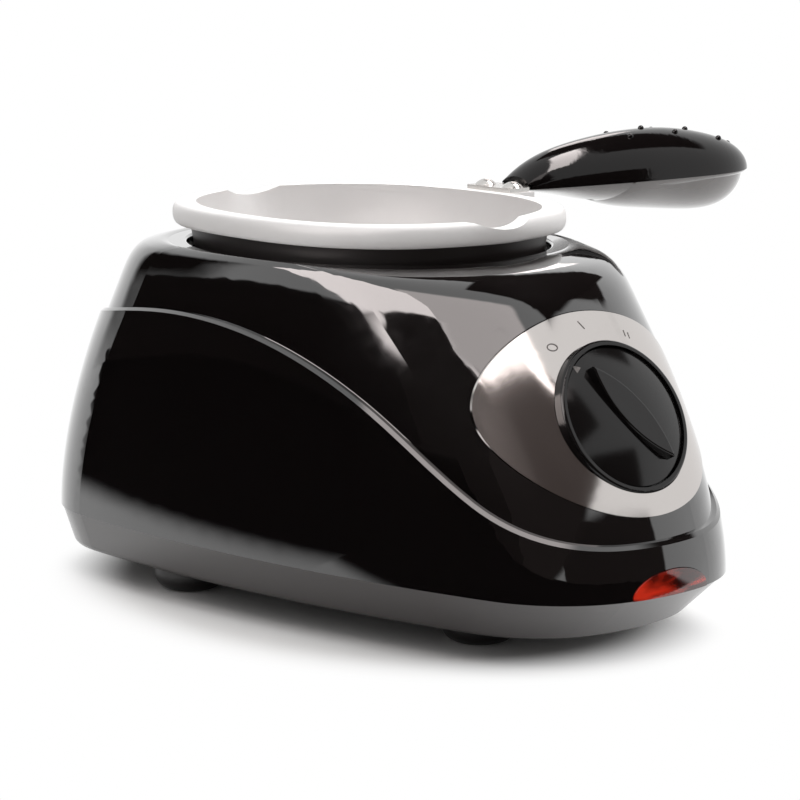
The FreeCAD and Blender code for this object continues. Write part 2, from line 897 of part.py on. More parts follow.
def thermal_fuse():
    body = turned("thermal_fuse", [
        ("0", "0"),
        ("fuse_radius - 0.5", "0"),
        ("fuse_radius", "1"),
        ("fuse_radius", "fuse_length - 3"),
        ("fuse_radius - 1.2", "fuse_length"),
        ("0", "fuse_length"),
    ])
    height = clamp_under - value("fuse_radius") - 0.1
    start = Vector(-value("fuse_length") / 2, value("fuse_back"), height)
    body.Placement = Placement(start, Rotation(Vector(0, 1, 0), 90))
    return keep(body, "thermal_fuse")


# Control on the nose

def dial_plate():
    plate = plate_prism(0).common(body_loft(value("plate_proud")))
    hole = on_front(upright(pocket_radius, -60, 40))
    return formed("dial_plate", plate.cut([body_loft(-value("plate_depth")), hole]))


def knob_collar():
    bore = "collar_radius - collar_wall"
    height = "pocket_depth + collar_proud"
    body = turned("knob_collar", [
        (bore, "0"),
        ("collar_radius", "0"),
        ("collar_radius", height + " - 0.8", "0.8"),
        ("collar_radius - 0.8", height),
        (bore, height),
    ])
    body.Placement = at_front(pocket_floor)
    return keep(body, "knob_collar")


def grip_prism(grow, low, high):
    """The knob's grip: two arcs that meet in a point at each end."""
    length = value("grip_half_length") + grow
    width = value("grip_half_width") + grow
    ends = [Vector(0, -length, low), Vector(0, length, low)]
    right = Part.Arc(ends[0], Vector(width, 0, low), ends[1]).toShape()
    left = Part.Arc(ends[1], Vector(-width, 0, low), ends[0]).toShape()
    return Part.Face(Part.Wire([right, left])).extrude(Vector(0, 0, high - low))


def dome_cap(radius, height, base):
    """A shallow round cap on a level base."""
    ball = (radius * radius + height * height) / (2 * height)
    sphere = Part.makeSphere(ball, Vector(0, 0, base + height - ball))
    return sphere.common(upright(radius, base, base + height + 1))


def control_knob():
    radius = value("collar_radius - collar_wall - knob_gap")
    skirt = pocket_floor + value("knob_skirt_gap")
    shoulder = value("knob_shoulder")
    wall = value("knob_wall")
    knob = upright(radius, skirt, shoulder).fuse(dome_cap(radius, value("knob_dome"), shoulder))
    hollow = upright(radius - wall, skirt - 1, shoulder - wall / 2)
    knob = knob.cut(hollow)
    hub_low = pocket_floor + value("bush_length") - value("wall") + 0.5
    knob = knob.fuse([
        grip_prism(0, shoulder, value("grip_height")),
        upright(value("hub_radius"), hub_low, shoulder),
    ])
    bore = upright(value("shaft_radius + shaft_fit"), hub_low - 1, shoulder + 2)
    knob = knob.cut(bore)
    crest = edges_on(knob, lambda spot: abs(spot.z - value("grip_height")) < 0.01)
    knob = knob.makeFillet(value("grip_round"), crest)
    knob.rotate(Vector(0, 0, 0), Vector(0, 0, 1), value("off_angle"))
    return formed("control_knob", on_front(knob))


switch_front = pocket_floor - value("wall")
switch_rear = switch_front - value("switch_depth")


def switch_body():
    half = value("switch_side / 2")
    box = block((-half, -half, switch_rear), (half, half, switch_front))
    bush = upright(value("bush_radius"), switch_front - 1, switch_front + value("bush_length"))
    cavity_top = switch_front - value("switch_front_wall")
    cavity = upright(value("rotor_radius") + 0.8, switch_rear - 1, cavity_top)
    bore = upright(value("shaft_radius + shaft_fit"), cavity_top - 1, 10)
    return formed("switch_body", on_front(box.fuse(bush).cut([cavity, bore])))


def switch_cover():
    body = padded("switch_cover", rectangle("switch_side / 2", "switch_side / 2"), "switch_cover_thickness")
    body.Placement = at_front(switch_rear - value("switch_cover_thickness"))
    return keep(body, "switch_cover")


def switch_terminals():
    corners = rectangle("blade_width / 2", "blade_thickness / 2")
    master = padded("switch_blade", corners, "blade_length")
    depth = switch_rear - value("switch_cover_thickness + blade_length")
    places = []
    for across in (-1, 1):
        for along in (-1, 1):
            spot = Vector(across, along, 0) * value("blade_across") + Vector(0, 0, depth)
            places.append(front.multiply(Placement(spot, Rotation())))
    return grouped("switch_terminals", master, places)


def switch_nut():
    nut = hexagon(value("switch_nut_flats"), value("switch_nut_height"), value("bush_radius") + 0.05)
    nut.translate(Vector(0, 0, pocket_floor))
    return formed("switch_nut", on_front(nut))


shaft_end = switch_front - value("switch_front_wall + rotor_length") - 1.5


def switch_shaft():
    radius = value("shaft_radius")
    top = value("knob_shoulder") + 1.5
    shaft = upright(radius, shaft_end, top)
    flat_start = pocket_floor + value("bush_length") - value("wall") + 0.5
    flat = block((-radius - 1, value("shaft_flat"), flat_start), (radius + 1, radius + 1, top + 1))
    shaft = shaft.cut(flat)
    shaft.rotate(Vector(0, 0, 0), Vector(0, 0, 1), value("off_angle"))
    return formed("switch_shaft", on_front(shaft))


def switch_rotor():
    body = turned("switch_rotor", [
        ("shaft_radius + 0.02", "0"),
        ("rotor_radius", "0"),
        ("rotor_radius", "rotor_length - 2"),
        ("rotor_radius - 3", "rotor_length - 2"),
        ("rotor_radius - 3", "rotor_length"),
        ("shaft_radius + 0.02", "rotor_length"),
    ])
    body.Placement = at_front(shaft_end + 0.5)
    return keep(body, "switch_rotor")


# Indicator, mains entry and terminals

def indicator_lens():
    lens = lens_prism(0).common(body_loft(value("skirt_step + lens_proud")))
    return formed("indicator_lens", lens.cut(body_loft(-value("lens_depth"))))


lamp_front = nose_end + value("tray_nose_inset + lamp_setback")
lamp_height = tray_top + value("lamp_rise")


def neon_lamp():
    body = turned("neon_lamp", [
        ("0", "0"),
        ("lamp_radius", "0"),
        ("lamp_radius", "lamp_length - 2", "2"),
        ("lamp_radius - 2", "lamp_length"),
        ("0", "lamp_length"),
    ])
    start = Vector(0, lamp_front + value("lamp_length"), lamp_height)
    body.Placement = Placement(start, Rotation(Vector(1, 0, 0), 90))
    return keep(body, "neon_lamp")


def lamp_holder():
    rear = lamp_front + value("lamp_length")
    half = value("holder_half_width")
    top = lamp_height + value("lamp_radius") + 1.5
    holder = block((-half, rear - value("holder_length"), tray_top), (half, rear, top))
    centre = Vector(0, rear - value("holder_length") - 1, lamp_height)
    bore_length = value("holder_length") + 2
    bore = Part.makeCylinder(value("lamp_radius") + 0.1, bore_length, centre, Vector(0, 1, 0))
    return formed("lamp_holder", holder.cut(bore))


def cord_gland():
    body = turned("cord_gland", [
        ("gland_bore", "0"),
        ("gland_flange_radius", "0"),
        ("gland_flange_radius", "gland_flange_thickness"),
        ("gland_radius", "gland_flange_thickness"),
        ("gland_radius", "gland_length - 1", "1"),
        ("gland_radius - 1", "gland_length"),
        ("gland_bore", "gland_length"),
    ])
    start = Vector(0, gland_start, gland_height)
    body.Placement = Placement(start, Rotation(Vector(1, 0, 0), -90))
    return keep(body, "cord_gland")


block_spots = [("-block_half_length / 2", "0"), ("block_half_length / 2", "0")]


def terminal_block():
    corners = rectangle("block_half_length", "block_width / 2")
    body = padded("terminal_block", corners, "block_height")
    bored(body, block_spots, "block_screw_radius + 0.1")
    body.Placement = Placement(Vector(0, value("block_back"), tray_top), Rotation())
    return keep(body, "terminal_block")


def terminal_screws():
    master = turned("terminal_screw", [
        ("0", "0"),
        ("block_screw_radius", "0"),
        ("block_screw_radius", "block_height - 1.5"),
        ("0", "block_height - 1.5"),
    ])
    places = []
    for across, along in block_spots:
        spot = Vector(value(across), value("block_back"), tray_top)
        places.append(Placement(spot, Rotation()))
    return grouped("terminal_screws", master, places)


# Lift-out pot

def pot_wire(half_width, half_length, reach, height, squareness=None):
    """A level, slightly square oval with a pouring lip at the front and at the rear."""
    power = 2 / (squareness or value("pot_squareness"))
    spots = []
    steps = 48
    for step in range(steps):
        angle = 2 * math.pi * step / steps
        across = half_width * math.copysign(abs(math.cos(angle)) ** power, math.cos(angle))
        along = half_length * math.copysign(abs(math.sin(angle)) ** power, math.sin(angle))
        push = reach * math.exp(-(across / value("spout_half_width")) ** 2)
        spots.append(Vector(across, along + math.copysign(push, math.sin(angle)), height))
    curve = Part.BSplineCurve()
    curve.interpolate(spots, PeriodicFlag=True)
    return Part.Wire(curve.toShape())


def pot_form(grow, floor, top):
    """The pot's tapered form with a round foot, grown by a distance."""
    taper = value("pot_taper")
    corner = value("pot_corner")
    width = value("pot_half_width") + grow
    length = value("pot_half_length") + grow
    wires = []
    for turn in (0, 30, 60, 90):
        angle = math.radians(turn)
        inset = taper + corner * (1 - math.sin(angle))
        height = floor + corner * (1 - math.cos(angle))
        wires.append(pot_wire(width - inset, length - inset, 0, height))
    middle = (floor + corner + top) / 2
    wires.append(pot_wire(width - taper / 2, length - taper / 2, 0, middle))
    spread = value("spout_reach")
    below_rim = rim_top - value("rim_height")
    wires.append(pot_wire(width, length, spread * 0.35, below_rim))
    wires.append(pot_wire(width, length, spread, top))
    return Part.makeLoft(wires, True, False)


def rim_ring():
    """The thick rim, round at its upper and lower edges."""
    top = rim_top
    low = rim_top - value("rim_height")
    soft = value("rim_round")
    spread = value("spout_reach")
    wires = []
    for height, inset, share in (
        (low, soft, 0.5),
        (low + soft * 0.4, soft * 0.3, 0.55),
        (low + soft, 0, 0.6),
        (top - soft, 0, 0.95),
        (top - soft * 0.4, soft * 0.3, 1),
        (top, soft, 1),
    ):
        width = value("pot_half_width + rim_overhang") - inset
        length = value("pot_half_length + rim_overhang") - inset
        wires.append(pot_wire(width, length, spread * share, height, value("rim_squareness")))
    return Part.makeLoft(wires, True, False)


def melting_pot():
    wall = value("pot_wall")
    top = rim_top
    body = pot_form(0, well_floor, top).fuse(rim_ring())
    half = value("tab_half_width")
    tab_low = top - value("tab_thickness")
    tab = block((value("pot_half_width"), -half, tab_low), (value("tab_end"), half, top))
    body = body.fuse(tab)
    inside = pot_form(-wall, well_floor + wall, top + 0.5)
    curve = value("spout_curve")
    reach = value("pot_half_length") + 30
    middle = Vector(0, -reach, top - value("spout_dip") + curve)
    dip = Part.makeCylinder(curve, 2 * reach, middle, Vector(0, 1, 0))
    cuts = [inside, dip]
    for across, along in rivet_spots:
        cuts.append(upright(value("rivet_radius") + 0.05, tab_low - 1, top + 1, across, along))
    return formed("melting_pot", body.cut(cuts))


rivet_spots = [(value("rivet_at"), -value("rivet_across")), (value("rivet_at"), value("rivet_across"))]


def handle_bracket():
    wide = "tab_half_width - 1"
    body = padded("handle_bracket", [
        ("bracket_start", "-(%s)" % wide),
        ("tab_end - 1", "-(%s)" % wide),
        ("handle_start", "-tang_half_width"),
        ("tang_end", "-tang_half_width"),
        ("tang_end", "tang_half_width"),
        ("handle_start", "tang_half_width"),
        ("tab_end - 1", wide),
        ("bracket_start", wide),
    ], "bracket_thickness")
    bored(body, [("rivet_at", "-rivet_across"), ("rivet_at", "rivet_across")], "rivet_radius + 0.05")
    bored(body, [("handle_screw_front", "0")], "screw_radius + screw_slack", "screw_hole")
    body.Placement = Placement(Vector(0, 0, rim_top), Rotation())
    return keep(body, "handle_bracket")


def bracket_rivets():
    stack = "tab_thickness + bracket_thickness"
    dome = "(rivet_head_radius ^ 2 + rivet_head_height ^ 2) / (2 * rivet_head_height)"
    master = turned("bracket_rivet", [
        ("0", "0"),
        ("rivet_head_radius - 0.6", "0"),
        ("rivet_head_radius - 0.6", "0.8"),
        ("rivet_radius", "0.8"),
        ("rivet_radius", "0.8 + " + stack),
        ("rivet_head_radius", "0.8 + " + stack, dome),
        ("0", "0.8 + rivet_head_height + " + stack),
    ])
    height = rim_top - value("tab_thickness") - 0.8
    places = [Placement(Vector(x, y, height), Rotation()) for x, y in rivet_spots]
    return grouped("bracket_rivets", master, places)


# Handle: shares of its length, width, rise above the joint and fall below it

handle_stations = [
    (0.0, 0.46, 0.24, 0.1),
    (0.06, 0.57, 0.5, 0.24),
    (0.18, 0.72, 0.76, 0.55),
    (0.35, 0.88, 0.93, 1.0),
    (0.53, 0.98, 1.0, 0.85),
    (0.7, 1.0, 0.94, 0.66),
    (0.86, 0.85, 0.73, 0.44),
    (0.95, 0.55, 0.48, 0.28),
    (1.0, 0.22, 0.17, 0.12),
]
belly_stations = [
    (0.28, 0.5, 0.3),
    (0.35, 0.88, 0.58),
    (0.53, 0.98, 0.83),
    (0.7, 1.0, 0.97),
    (0.79, 0.95, 1.0),
    (0.89, 0.74, 0.85),
    (0.955, 0.42, 0.45),
]
handle_joint = rim_top


def half_oval(place, half_width, height):
    """Half an oval across the handle, above the joint or, if height is negative, below it."""
    arc = Part.makeCircle(1, Vector(0, 0, 0), Vector(0, 0, 1), 0, 180)
    matrix = FreeCAD.Matrix()
    matrix.scale(half_width, height, 1)
    curve = arc.transformGeometry(matrix)
    line = Part.makeLine(curve.Vertexes[-1].Point, curve.Vertexes[0].Point)
    wire = Part.Wire([curve.Edges[0], line])
    turn = Rotation(Vector(0, 1, 0), Vector(0, 0, 1), Vector(1, 0, 0), "ZXY")
    wire.Placement = Placement(Vector(place, 0, handle_joint), turn)
    return wire


def handle_loft(rows, rise, inset, trim):
    """A half of the handle through its stations, inset from its surface."""
    wires = []
    for along, width, share in rows:
        place = value("handle_start") + value("handle_length") * along
        half_width = value("handle_width") / 2 * width - inset - trim
        height = rise * share - math.copysign(inset, rise)
        wires.append(half_oval(place, half_width, height))
    return Part.makeLoft(wires, True, False)


upper_rows = [(along, width, rise) for along, width, rise, fall in handle_stations]
band_rows = [(along, width, fall) for along, width, rise, fall in handle_stations]
handle_screws_at = [value("handle_screw_front"), value("handle_screw_rear")]


def surface_height(shape, across, along):
    """Height of the top of a shape over one spot."""
    box = shape.BoundBox
    line = Part.makeLine(Vector(across, along, box.ZMin - 1), Vector(across, along, box.ZMax + 1))
    return shape.common(line).BoundBox.ZMax


def handle_upper():
    wall = value("handle_wall")
    rise = value("handle_rise")
    skin = handle_loft(upper_rows, rise, 0, 0)
    hollow = handle_loft(upper_rows[1:-2], rise, wall, 0)
    shell = skin.cut(hollow)
    seat = handle_joint + value("bracket_thickness")
    posts = [
        upright(3.2, seat, seat + rise, handle_screws_at[0], 0).common(skin),
        upright(3.2, handle_joint, handle_joint + rise + 1, handle_screws_at[1], 0).common(skin),
    ]
    nubs = []
    nub_across = value("nub_across")
    for row in range(6):
        place = value("handle_start + handle_length * 0.44 + nub_pitch * %d" % row)
        offsets = (0,) if row % 2 else (-nub_across, nub_across)
        for offset in offsets:
            height = surface_height(skin, place, offset)
            nubs.append(Part.makeSphere(value("nub_radius"), Vector(place, offset, height)))
    shell = shell.fuse(posts + nubs)
    slot_half = value("tang_half_width") + 1.2
    slot = block(
        (value("handle_start") - 1, -slot_half, handle_joint - 1),
        (value("handle_start") + 8, slot_half, seat + 0.1),
    )
    cuts = [slot]
    for place in handle_screws_at:
        top = handle_joint + value("handle_screw_length") - 2
        cuts.append(upright(pilot_radius, handle_joint - 1, top, place, 0))
    return formed("handle_upper", shell.cut(cuts))


def handle_lower():
    wall = value("handle_wall")
    band = handle_loft(band_rows, -value("handle_fall"), 0, 0.3)
    belly = handle_loft(belly_stations, -value("belly_fall"), 0, value("belly_step"))
    hollow = handle_loft(belly_stations[1:-1], -value("belly_fall"), wall, value("belly_step"))
    skin = band.fuse(belly)
    shell = skin.cut(hollow)
    fall = value("belly_fall")
    posts = []
    cuts = []
    for place in handle_screws_at:
        posts.append(upright(4.6, handle_joint - fall - 1, handle_joint, place, 0).common(skin))
        seat = handle_joint - value("screw_head_height") - 0.2
        cuts.append(upright(hole_radius, seat - 1, handle_joint + 1, place, 0))
        cuts.append(upright(value("screw_head_radius") + 0.2, handle_joint - fall - 2, seat - 1, place, 0))
    return formed("handle_lower", shell.fuse(posts).cut(cuts))


def handle_screws():
    master = screw_master("handle_screw", "handle_screw_length")
    height = handle_joint - 2 * value("screw_head_height") - 1.2
    places = [Placement(Vector(place, 0, height), Rotation()) for place in handle_screws_at]
    return grouped("handle_screws", master, places)


for make in (
    housing, base_tray, rubber_feet, base_screws,
    heating_well, well_gasket, well_screws, heater_stack, heater_fasteners,
    thermal_cutout, thermal_fuse,
    dial_plate, knob_collar, control_knob, switch_body, switch_cover, switch_terminals,
    switch_nut, switch_shaft, switch_rotor,
    indicator_lens, neon_lamp, lamp_holder, cord_gland, terminal_block, terminal_screws,
    melting_pot, handle_bracket, bracket_rivets, handle_upper, handle_lower, handle_screws,
):
    make()

doc.recompute()

# Put the middle of the footprint at the origin and the feet on the ground.

whole = FreeCAD.BoundBox()
for piece in pieces:
    whole.add(piece.Shape.optimalBoundingBox())
shift = Vector(-whole.Center.x, -whole.Center.y, -whole.ZMin)
for piece in pieces:
    piece.Placement = Placement(shift, Rotation()).multiply(piece.Placement)
doc.recompute()
print("Pot axis at %.3f %.3f, lowered by %.3f" % (shift.x, shift.y, shift.z))
print("Size %.2f x %.2f x %.2f" % (whole.XLength, whole.YLength, whole.ZLength))

for item in doc.Objects:
    if "Invalid" in item.State or "Error" in item.State:
        raise RuntimeError("%s failed: %s" % (item.Label, item.State))
for piece in pieces:
    if piece.Shape.isNull() or not piece.Shape.isValid():
        raise RuntimeError("%s has no valid shape" % piece.Label)

os.makedirs("parts", exist_ok=True)
for piece in pieces:
    piece.Shape.exportStep("parts/%s.step" % piece.Label)
    print("%s: %d solids, %.2f cm3" % (piece.Label, len(piece.Shape.Solids), piece.Shape.Volume / 1000))
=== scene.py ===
import json
import math

import bpy
from mathutils import Matrix, Vector


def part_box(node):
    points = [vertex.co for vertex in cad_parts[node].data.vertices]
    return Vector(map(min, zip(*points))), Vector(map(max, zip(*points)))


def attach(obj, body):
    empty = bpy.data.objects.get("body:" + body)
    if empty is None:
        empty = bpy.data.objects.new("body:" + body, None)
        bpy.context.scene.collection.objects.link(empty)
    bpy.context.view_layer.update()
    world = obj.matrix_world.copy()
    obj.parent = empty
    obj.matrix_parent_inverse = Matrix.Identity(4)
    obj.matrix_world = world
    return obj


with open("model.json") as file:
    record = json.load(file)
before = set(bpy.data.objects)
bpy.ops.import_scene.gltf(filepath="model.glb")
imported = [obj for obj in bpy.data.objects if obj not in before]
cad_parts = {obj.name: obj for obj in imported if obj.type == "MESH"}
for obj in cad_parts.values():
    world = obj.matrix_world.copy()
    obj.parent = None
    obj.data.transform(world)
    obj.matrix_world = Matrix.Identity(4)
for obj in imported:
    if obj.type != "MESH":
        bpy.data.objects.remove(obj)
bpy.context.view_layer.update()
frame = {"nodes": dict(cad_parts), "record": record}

# Electric wax warmer on a pale studio floor. Lengths in the settings are in millimetres.

mm = 0.001
nodes = frame["nodes"]
print("frame loaded:", len(nodes), "nodes")


# Control on the nose: its axis leans back, with right and up along the face
knobJoint = next(joint for joint in frame["record"]["behaviour"]["joints"] if joint["name"] == "knob_turn")
faceOrigin = Vector(knobJoint["pos_m"])
faceOut = -Vector(knobJoint["axis"]).normalized()
faceRight = Vector((1, 0, 0))
faceUp = faceOut.cross(faceRight)


def facePoint(right, up, out):
    return faceOrigin + (faceRight * right + faceUp * up + faceOut * out) * mm


# Materials

def toLinear(hexText):
    channels = [int(hexText[place:place + 2], 16) / 255 for place in (1, 3, 5)]
    return [c / 12.92 if c <= 0.04045 else ((c + 0.055) / 1.055) ** 2.4 for c in channels] + [1]


def addNode(tree, kind, inputs=None, **settings):
    node = tree.nodes.new(kind)
    for name, setting in settings.items():
        setattr(node, name, setting)
    for name, source in (inputs or {}).items():
        if isinstance(source, bpy.types.NodeSocket):
            tree.links.new(source, node.inputs[name])
        else:
            node.inputs[name].default_value = source
    return node


def startMaterial(name):
    material = bpy.data.materials.new(name)
    material.use_nodes = True
    tree = material.node_tree
    shader = tree.nodes["Principled BSDF"]
    place = addNode(tree, "ShaderNodeTexCoord").outputs["Object"]
    return material, tree, shader, place


def perMm(size):
    return 1 / (size * mm)  # noise features of this size


waveTurn = 2 * math.pi / 20  # a wave texture of scale 1 repeats at this distance


def glossBlackAbs():
    # Black ABS from a mirror-polished tool under a clear hard coat:
    # deep black, sharp reflections, a trace of ripple
    look = {"colour": "#0b0808", "ripple": 9.0, "rippleDepth": 0.004, "haze": 2.5, "coatIor": 1.65}
    material, tree, shader, place = startMaterial("polished_black_abs")
    ripple = addNode(tree, "ShaderNodeTexNoise", {"Vector": place, "Scale": perMm(look["ripple"]), "Detail": 1})
    haze = addNode(tree, "ShaderNodeTexNoise", {"Vector": place, "Scale": perMm(look["haze"]), "Detail": 6})
    rough = addNode(tree, "ShaderNodeMapRange", {
        "Value": haze.outputs["Fac"], "From Min": 0.35, "From Max": 0.75, "To Min": 0.04, "To Max": 0.075,
    })
    bump = addNode(tree, "ShaderNodeBump", {
        "Height": ripple.outputs["Fac"], "Strength": 0.06, "Distance": look["rippleDepth"] * mm,
    })
    shader.inputs["Base Color"].default_value = toLinear(look["colour"])
    shader.inputs["IOR"].default_value = 1.54
    shader.inputs["Coat Weight"].default_value = 1
    shader.inputs["Coat Roughness"].default_value = 0.03
    shader.inputs["Coat IOR"].default_value = look["coatIor"]
    tree.links.new(rough.outputs["Result"], shader.inputs["Roughness"])
    tree.links.new(bump.outputs["Normal"], shader.inputs["Normal"])
    return material


def satinGreyAbs():
    # Dark grey ABS with a fine spark-eroded grain, which breaks the shine into a soft sheen
    look = {"colour": "#2a2322", "deep": "#221c1b", "grain": 0.5, "grainDepth": 0.02, "coat": 0.6, "coatIor": 1.6}
    material, tree, shader, place = startMaterial("satin_grey_abs")
    grain = addNode(tree, "ShaderNodeTexNoise", {"Vector": place, "Scale": perMm(look["grain"]), "Detail": 3})
    tone = addNode(tree, "ShaderNodeMix", {
        "Factor": grain.outputs["Fac"], "A": toLinear(look["deep"]), "B": toLinear(look["colour"]),
    }, data_type="RGBA")
    bump = addNode(tree, "ShaderNodeBump", {
        "Height": grain.outputs["Fac"], "Strength": 0.15, "Distance": look["grainDepth"] * mm,
    })
    tree.links.new(tone.outputs[2], shader.inputs["Base Color"])
    shader.inputs["Roughness"].default_value = 0.3
    shader.inputs["IOR"].default_value = 1.53
    shader.inputs["Coat Weight"].default_value = look["coat"]
    shader.inputs["Coat Roughness"].default_value = 0.14
    shader.inputs["Coat IOR"].default_value = look["coatIor"]
    tree.links.new(bump.outputs["Normal"], shader.inputs["Normal"])
    return material


def satinBlackAbs():
    # Black ABS of the knob and its collar, from a lightly blasted tool: dark, with soft-edged reflections
    look = {"colour": "#0d0b0b", "grain": 0.4, "grainDepth": 0.003, "specular": 0.4}
    material, tree, shader, place = startMaterial("satin_black_abs")
    grain = addNode(tree, "ShaderNodeTexNoise", {"Vector": place, "Scale": perMm(look["grain"]), "Detail": 3})
    rough = addNode(tree, "ShaderNodeMapRange", {
        "Value": grain.outputs["Fac"], "From Min": 0.3, "From Max": 0.7, "To Min": 0.1, "To Max": 0.15,
    })
    bump = addNode(tree, "ShaderNodeBump", {
        "Height": grain.outputs["Fac"], "Strength": 0.1, "Distance": look["grainDepth"] * mm,
    })
    shader.inputs["Base Color"].default_value = toLinear(look["colour"])
    shader.inputs["Specular IOR Level"].default_value = look["specular"]
    tree.links.new(rough.outputs["Result"], shader.inputs["Roughness"])
    tree.links.new(bump.outputs["Normal"], shader.inputs["Normal"])
    return material


def handleBlackAbs():
    # Black ABS of the handle's upper shell, polished but without the body's hard coat, so its shine is darker
    look = {"colour": "#0b0808", "haze": 2.5, "specular": 0.28}
    material, tree, shader, place = startMaterial("handle_black_abs")
    haze = addNode(tree, "ShaderNodeTexNoise", {"Vector": place, "Scale": perMm(look["haze"]), "Detail": 6})
    rough = addNode(tree, "ShaderNodeMapRange", {
        "Value": haze.outputs["Fac"], "From Min": 0.35, "From Max": 0.75, "To Min": 0.05, "To Max": 0.09,
    })
    shader.inputs["Base Color"].default_value = toLinear(look["colour"])
    shader.inputs["Specular IOR Level"].default_value = look["specular"]
    tree.links.new(rough.outputs["Result"], shader.inputs["Roughness"])
    return material


def handleGreyAbs():
    # Dark grey ABS of the handle's lower shell, polished in the tool: soft grey body colour under a clear shine
    look = {"colour": "#4d4745", "deep": "#443f3d", "patch": 6.0, "coatIor": 1.65}
    material, tree, shader, place = startMaterial("polished_grey_abs")
    patch = addNode(tree, "ShaderNodeTexNoise", {"Vector": place, "Scale": perMm(look["patch"]), "Detail": 3})
    tone = addNode(tree, "ShaderNodeMix", {
        "Factor": patch.outputs["Fac"], "A": toLinear(look["deep"]), "B": toLinear(look["colour"]),
    }, data_type="RGBA")
    tree.links.new(tone.outputs[2], shader.inputs["Base Color"])
    shader.inputs["Roughness"].default_value = 0.12
    shader.inputs["IOR"].default_value = 1.54
    shader.inputs["Coat Weight"].default_value = 1
    shader.inputs["Coat Roughness"].default_value = 0.06
    shader.inputs["Coat IOR"].default_value = look["coatIor"]
    return material


def mouldedRubber():
    # Black nitrile rubber, moulded: dull, with a fine grain and a little dust
    look = {"colour": "#141212", "dust": "#2b2826", "grain": 0.7, "grainDepth": 0.04}
    material, tree, shader, place = startMaterial("moulded_rubber")
    grain = addNode(tree, "ShaderNodeTexNoise", {"Vector": place, "Scale": perMm(look["grain"]), "Detail": 4})
    spots = addNode(tree, "ShaderNodeMapRange", {
        "Value": grain.outputs["Fac"], "From Min": 0.55, "From Max": 0.8, "To Min": 0, "To Max": 0.5,
    })
    tone = addNode(tree, "ShaderNodeMix", {
        "Factor": spots.outputs["Result"], "A": toLinear(look["colour"]), "B": toLinear(look["dust"]),
    }, data_type="RGBA")
    bump = addNode(tree, "ShaderNodeBump", {
        "Height": grain.outputs["Fac"], "Strength": 0.2, "Distance": look["grainDepth"] * mm,
    })
    tree.links.new(tone.outputs[2], shader.inputs["Base Color"])
    shader.inputs["Roughness"].default_value = 0.32
    tree.links.new(bump.outputs["Normal"], shader.inputs["Normal"])
    return material


def satinSilver():
    # Vacuum-metallised plate under satin lacquer: soft, wide reflections with a very fine grain
    look = {"colour": "#cbc6c3", "grain": 0.25, "grainDepth": 0.004}
    material, tree, shader, place = startMaterial("satin_silver_plate")
    grain = addNode(tree, "ShaderNodeTexNoise", {"Vector": place, "Scale": perMm(look["grain"]), "Detail": 2})
    rough = addNode(tree, "ShaderNodeMapRange", {
        "Value": grain.outputs["Fac"], "From Min": 0.3, "From Max": 0.7, "To Min": 0.09, "To Max": 0.13,
    })
    bump = addNode(tree, "ShaderNodeBump", {
        "Height": grain.outputs["Fac"], "Strength": 0.1, "Distance": look["grainDepth"] * mm,
    })
    shader.inputs["Base Color"].default_value = toLinear(look["colour"])
    shader.inputs["Metallic"].default_value = 1
    tree.links.new(rough.outputs["Result"], shader.inputs["Roughness"])
    tree.links.new(bump.outputs["Normal"], shader.inputs["Normal"])
    return material


def redAcrylic():
    # Clear red acrylic over a ribbed back:
    # dark red depth with painted highlight streaks in its colour along the ribs, and a clear gloss
    look = {
        "deep": "#330502", "bright": "#d83018", "streak": 5.0, "stretch": 6.0, "streakTilt": -14,
        "ribPitch": 10.053, "ribDepth": 0.25, "coatIor": 1.6,
    }
    material, tree, shader, place = startMaterial("red_acrylic")
    long = addNode(tree, "ShaderNodeMapping", {
        "Vector": place, "Rotation": (0, math.radians(look["streakTilt"]), 0),
        "Scale": (1 / look["stretch"], 1, 1),
    })
    # Painted highlight streaks: a stretched noise mixes bright red into the base colour along the ribs
    highlightStreaks = addNode(tree, "ShaderNodeTexNoise", {
        "Vector": long.outputs["Vector"], "Scale": perMm(look["streak"]), "Detail": 3, "Distortion": 0.6,
    })
    glow = addNode(tree, "ShaderNodeMapRange", {
        "Value": highlightStreaks.outputs["Fac"], "From Min": 0.48, "From Max": 0.66, "To Min": 0, "To Max": 1,
    })
    tone = addNode(tree, "ShaderNodeMix", {
        "Factor": glow.outputs["Result"], "A": toLinear(look["deep"]), "B": toLinear(look["bright"]),
    }, data_type="RGBA")
    ribs = addNode(tree, "ShaderNodeTexWave", {
        "Vector": place, "Scale": perMm(look["ribPitch"]) * waveTurn, "Distortion": 0.4,
    }, bands_direction="X")
    bump = addNode(tree, "ShaderNodeBump", {
        "Height": ribs.outputs["Fac"], "Strength": 0.15, "Distance": look["ribDepth"] * mm,
    })
    tree.links.new(tone.outputs[2], shader.inputs["Base Color"])
    shader.inputs["Roughness"].default_value = 0.1
    shader.inputs["IOR"].default_value = 1.49
    shader.inputs["Transmission Weight"].default_value = 0.15
    shader.inputs["Coat Weight"].default_value = 1
    shader.inputs["Coat IOR"].default_value = look["coatIor"]
    tree.links.new(bump.outputs["Normal"], shader.inputs["Normal"])
    return material


